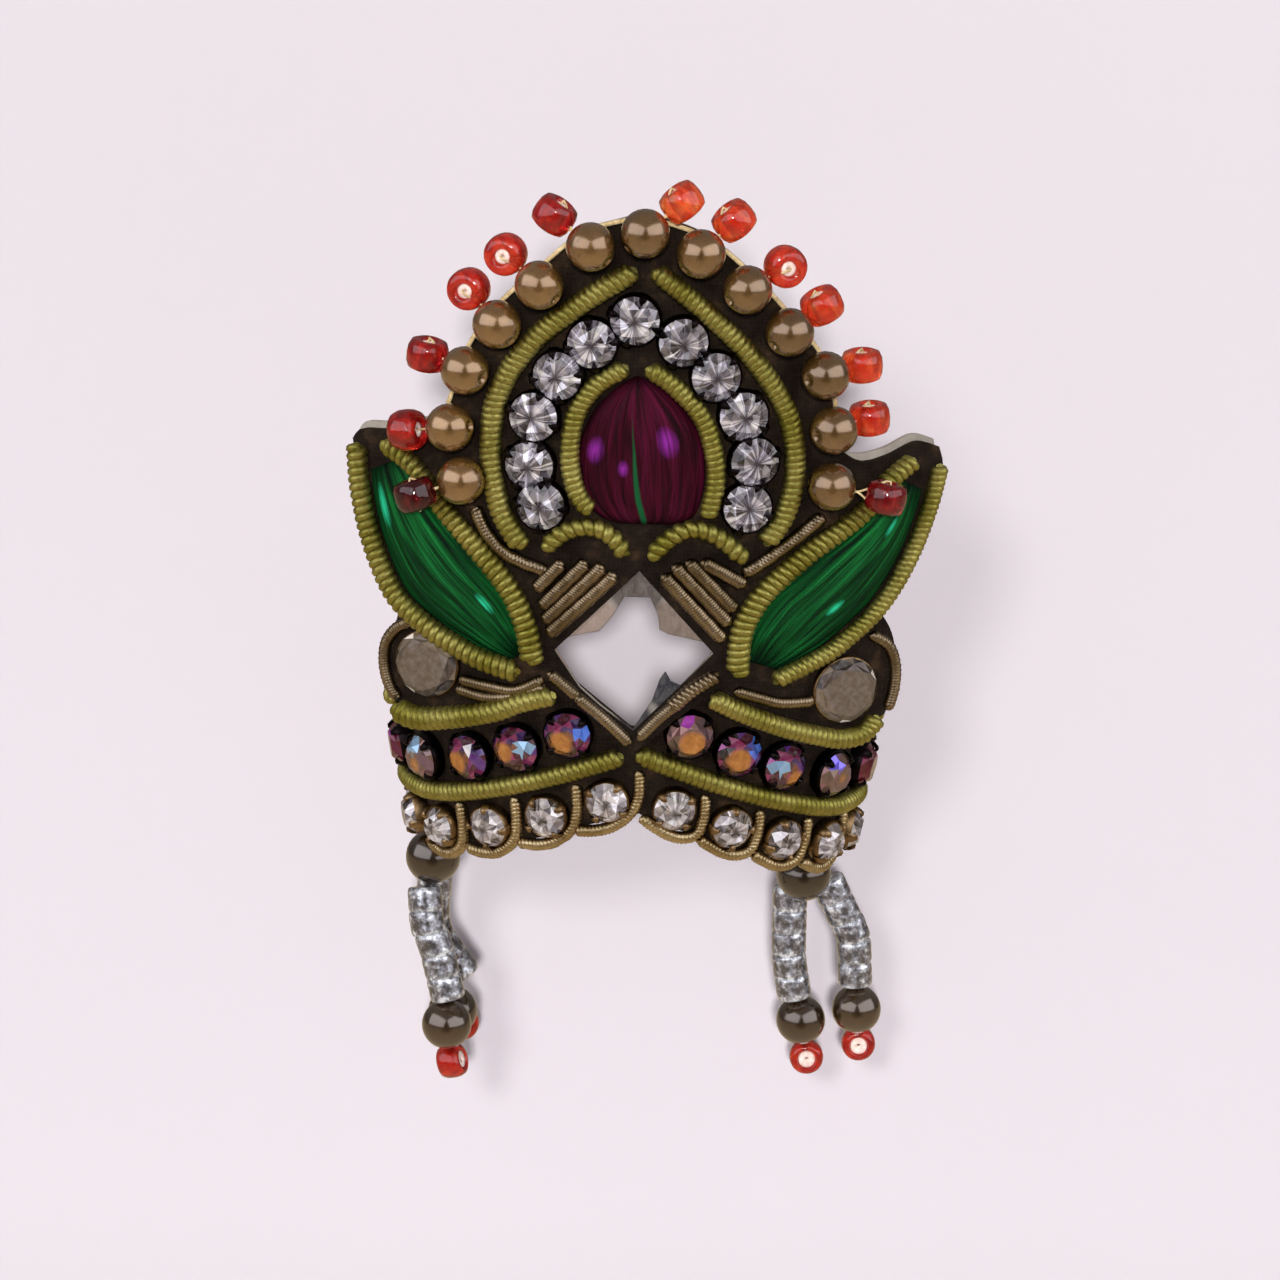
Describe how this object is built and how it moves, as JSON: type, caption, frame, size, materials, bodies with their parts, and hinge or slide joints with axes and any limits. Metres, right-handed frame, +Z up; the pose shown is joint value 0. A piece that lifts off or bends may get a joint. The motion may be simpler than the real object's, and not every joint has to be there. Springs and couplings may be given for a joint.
{
  "type": "deity figure crown",
  "caption": "Small embroidered crown for a figure: an oval band with a pointed front panel, coiled wire, stones, silk leaves, a beaded edge and hanging bead strings at its sides.",
  "frame": {"origin": "middle of the oval of the band's lower edge at its sides, where the crown sits on the head", "axes": "+Z up, the front panel faces -Y, +X to the crown's right side as seen from its front"},
  "size_m": [0.0414, 0.0318, 0.068],
  "materials": {
    "black_cloth": "matt black cloth over a stiff board, lined with pale felt",
    "lime_purl": "shiny lime-gold coiled wire",
    "old_gold": "dull old-gold fine coiled wire",
    "clear_stone": "clear faceted stones in brass claw cups",
    "violet_stone": "violet faceted stones with an iridescent coat, in black cups",
    "smoke_stone": "smoky flat-topped faceted stones",
    "green_silk": "glossy padded silk with fine folds",
    "magenta_silk": "glossy padded silk with purple glints",
    "gold_bead": "polished gold beads with red glass stopper beads",
    "silver_glass": "silver-lined glass beads"
  },
  "bodies": {
    "root": {"crown_band": "black_cloth", "front_panel": "black_cloth", "outer_arch_coil_left": "lime_purl", "outer_arch_coil_right": "lime_purl", "inner_arch_coil_left": "lime_purl", "inner_arch_coil_right": "lime_purl", "arch_foot_coil_left": "lime_purl", "arch_foot_coil_right": "lime_purl", "leaf_outer_coil_left": "lime_purl", "leaf_outer_coil_right": "lime_purl", "leaf_inner_coil_left": "lime_purl", "leaf_inner_coil_right": "lime_purl", "foot_coil_left": "lime_purl", "foot_coil_right": "lime_purl", "band_upper_coil_left": "lime_purl", "band_upper_coil_right": "lime_purl", "band_lower_coil_left": "lime_purl", "band_lower_coil_right": "lime_purl", "tube_fan_left": "old_gold", "tube_fan_right": "old_gold", "vee_tube_left": "old_gold", "vee_tube_right": "old_gold", "side_tube_left": "old_gold", "side_tube_right": "old_gold", "stone_loop_left": "old_gold", "stone_loop_right": "old_gold", "arch_stones_left": "clear_stone", "arch_stones_right": "clear_stone", "rim_stones_left": "clear_stone", "rim_stones_right": "clear_stone", "violet_stones_left": "violet_stone", "violet_stones_right": "violet_stone", "round_stone_left": "smoke_stone", "round_stone_right": "smoke_stone", "leaf_pad_left": "green_silk", "leaf_pad_right": "green_silk", "arch_pad": "magenta_silk", "picot_1": "gold_bead", "picot_2": "gold_bead", "picot_3": "gold_bead", "picot_4": "gold_bead", "picot_5": "gold_bead", "picot_6": "gold_bead", "picot_7": "gold_bead", "picot_8": "gold_bead", "picot_9": "gold_bead", "picot_10": "gold_bead", "picot_11": "gold_bead", "picot_12": "gold_bead", "picot_13": "gold_bead", "drop_ball_left": "gold_bead", "drop_ball_right": "gold_bead", "drop_tip_left_front": "gold_bead", "drop_tip_left_back": "gold_bead", "drop_tip_right_inner": "gold_bead", "drop_tip_right_outer": "gold_bead", "bead_string_left_front": "silver_glass", "bead_string_left_back": "silver_glass", "bead_string_right_inner": "silver_glass", "bead_string_right_outer": "silver_glass"}
  },
  "joints": []
}
